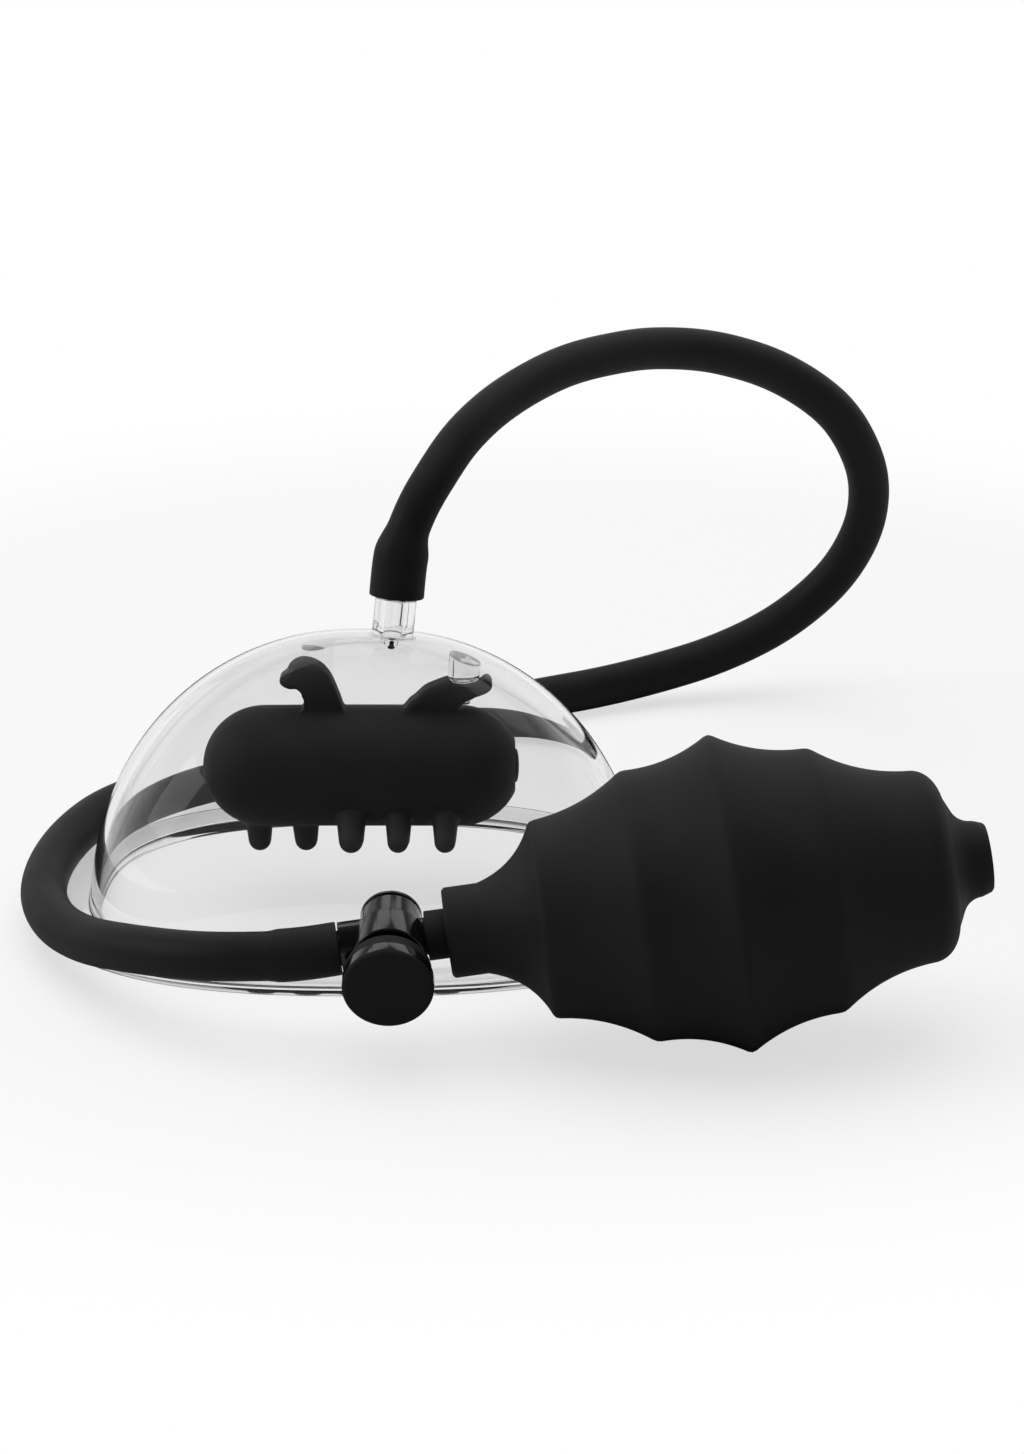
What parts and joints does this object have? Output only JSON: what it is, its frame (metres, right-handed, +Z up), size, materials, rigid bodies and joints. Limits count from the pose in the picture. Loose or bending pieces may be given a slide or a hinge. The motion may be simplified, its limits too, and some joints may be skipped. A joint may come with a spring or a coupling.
{
  "type": "siphon bulb pump",
  "caption": "Hand vacuum pump: ribbed squeeze bulb with one-way valves, release valve and hose to a clear suction cup with a vibrating pod.",
  "frame": {"origin": "on the table, below the middle of the box of cup, valve and bulb (the hose left out)", "axes": "+Z up, +X along the cup's long side and towards the bulb's tail, +Y from the bulb to the cup"},
  "size_m": [0.1822, 0.2226, 0.1013],
  "materials": {
    "clear_acrylic": "clear polished acrylic",
    "black_silicone": "soft matte silicone",
    "black_rubber": "matte moulded rubber",
    "glossy_plastic": "glossy black ABS",
    "satin_plastic": "satin black plastic",
    "valve_silicone": "dark silicone sheet",
    "steel": "bright steel",
    "brass": "sintered heavy metal, brass coloured",
    "circuit_board": "green solder mask"
  },
  "bodies": {
    "pump": {"cup_shell": "clear_acrylic", "cup_nipple": "clear_acrylic", "hanger_peg_left": "clear_acrylic", "hanger_peg_right": "clear_acrylic", "pod_sleeve": "black_silicone", "vibrator_case": "satin_plastic", "vibrator_cap": "satin_plastic", "inner_frame": "satin_plastic", "motor_can": "steel", "button_cell_1": "steel", "button_cell_2": "steel", "button_cell_3": "steel", "contact_spring": "steel", "switch_board": "circuit_board", "tact_switch": "steel", "hose": "black_silicone", "valve_body": "glossy_plastic", "valve_end_plug": "glossy_plastic", "release_spring": "steel", "squeeze_bulb": "black_rubber", "intake_cage": "satin_plastic", "exhaust_housing": "satin_plastic", "exhaust_retainer": "satin_plastic"},
    "release": {"release_button": "glossy_plastic", "release_stem": "satin_plastic", "stem_seal": "valve_silicone"},
    "intake_flap": {"intake_disc": "valve_silicone"},
    "exhaust_flap": {"exhaust_disc": "valve_silicone"},
    "rotor": {"motor_shaft": "steel", "eccentric_weight": "brass"},
    "pod_switch": {"pod_button": "black_silicone"}
  },
  "joints": [
    {"name": "release_press", "type": "slide", "parent": "pump", "child": "release", "axis": [0.0003, 0.9801, 0.1985], "range_m": [0, 0.0025], "stiffness_N_per_m": 300, "deforming": ["release_spring"]},
    {"name": "intake_lift", "type": "slide", "parent": "pump", "child": "intake_flap", "axis": [0.9903, 0.0519, 0.1288], "range_m": [0, 0.0008]},
    {"name": "exhaust_lift", "type": "slide", "parent": "pump", "child": "exhaust_flap", "axis": [0.9903, 0.0519, 0.1288], "range_m": [0, 0.0008]},
    {"name": "motor_spin", "type": "hinge", "parent": "pump", "child": "rotor", "pos_m": [-0.0262, 0.0246, 0.0277], "axis": [1, 0, 0], "continuous": true},
    {"name": "pod_button_press", "type": "slide", "parent": "pump", "child": "pod_switch", "axis": [-1, 0, 0], "range_m": [0, 0.0006], "stiffness_N_per_m": 800}
  ]
}
